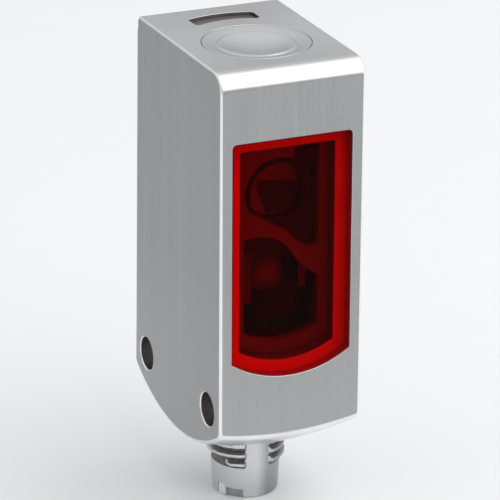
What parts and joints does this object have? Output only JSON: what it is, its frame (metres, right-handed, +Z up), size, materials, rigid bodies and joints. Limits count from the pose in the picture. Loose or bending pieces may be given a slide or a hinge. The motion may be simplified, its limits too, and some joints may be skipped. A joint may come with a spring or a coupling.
{
  "type": "photoelectric proximity sensor",
  "caption": "Slim rectangular photoelectric sensor in a steel shell, with a red window, a teach button and an indicator on top, and a threaded M8 plug below.",
  "frame": {"origin": "on the flat +X side face, midway between the two cross holes", "axes": "+Z up along the body and the plug's axis, -Y out of the front window, +X out of the side face that holds the origin"},
  "size_m": [0.0153, 0.0222, 0.0484],
  "materials": {
    "brushed_shell": "stainless steel, fine vertical brushing on the sides, bead-blasted top",
    "satin_steel": "fine satin stainless steel",
    "turned_steel": "lathe-turned stainless steel",
    "small_steel": "bright small hardware",
    "red_pane": "clear red acrylic, polished",
    "smoked_pane": "smoked translucent plastic",
    "clear_lens": "clear moulded lens",
    "pale_seal": "pale elastic bonding bead",
    "black_plastic": "fine matte glass-filled plastic",
    "grey_plastic": "mid-grey moulded plastic, seen through the red pane",
    "pale_plastic": "natural nylon",
    "lamp_body": "moulded lamp package",
    "chip_black": "moulded chip package",
    "ceramic": "sintered ceramic with tinned ends",
    "circuit_board": "green solder resist",
    "amber_film": "polyimide film",
    "black_rubber": "moulded seal rubber",
    "gold_contact": "gold-plated contact",
    "brown_lead": "brown lead insulation",
    "white_lead": "white lead insulation",
    "blue_lead": "blue lead insulation",
    "black_lead": "black lead insulation"
  },
  "bodies": {
    "body": {"housing": "brushed_shell", "front_window": "red_pane", "window_seal": "pale_seal", "aperture_mask": "grey_plastic", "optics_carrier": "black_plastic", "emitter_lens": "clear_lens", "receiver_lens": "clear_lens", "emitter_led": "lamp_body", "receiver_diode": "chip_black", "receiver_shield": "small_steel", "optics_board": "circuit_board", "board_screw_upper": "small_steel", "board_screw_lower": "small_steel", "main_board": "circuit_board", "microcontroller": "chip_black", "signal_amplifier": "chip_black", "output_driver": "chip_black", "voltage_regulator": "chip_black", "storage_inductor": "chip_black", "input_capacitor": "ceramic", "filter_capacitor": "ceramic", "protection_diode": "chip_black", "top_board": "circuit_board", "top_board_header": "black_plastic", "board_link": "amber_film", "button_spring": "small_steel", "switch_body": "black_plastic", "indicator_window": "smoked_pane", "led_green": "lamp_body", "led_yellow": "lamp_body", "connector_shell": "turned_steel", "shell_seal": "black_rubber", "connector_insert": "black_plastic", "insert_seal": "black_rubber", "retaining_ring": "small_steel", "contact_pin_1": "gold_contact", "contact_pin_2": "gold_contact", "contact_pin_3": "gold_contact", "contact_pin_4": "gold_contact", "lead_wire_1": "brown_lead", "lead_wire_2": "white_lead", "lead_wire_3": "blue_lead", "lead_wire_4": "black_lead"},
    "button": {"button_cap": "satin_steel", "button_seal": "black_rubber", "button_clip": "small_steel", "switch_plunger": "pale_plastic"}
  },
  "joints": [
    {"name": "button_press", "type": "slide", "parent": "body", "child": "button", "axis": [0, 0, -1], "range_m": [0, 0.0003], "stiffness_N_per_m": 2500, "deforming": ["button_spring"]}
  ]
}
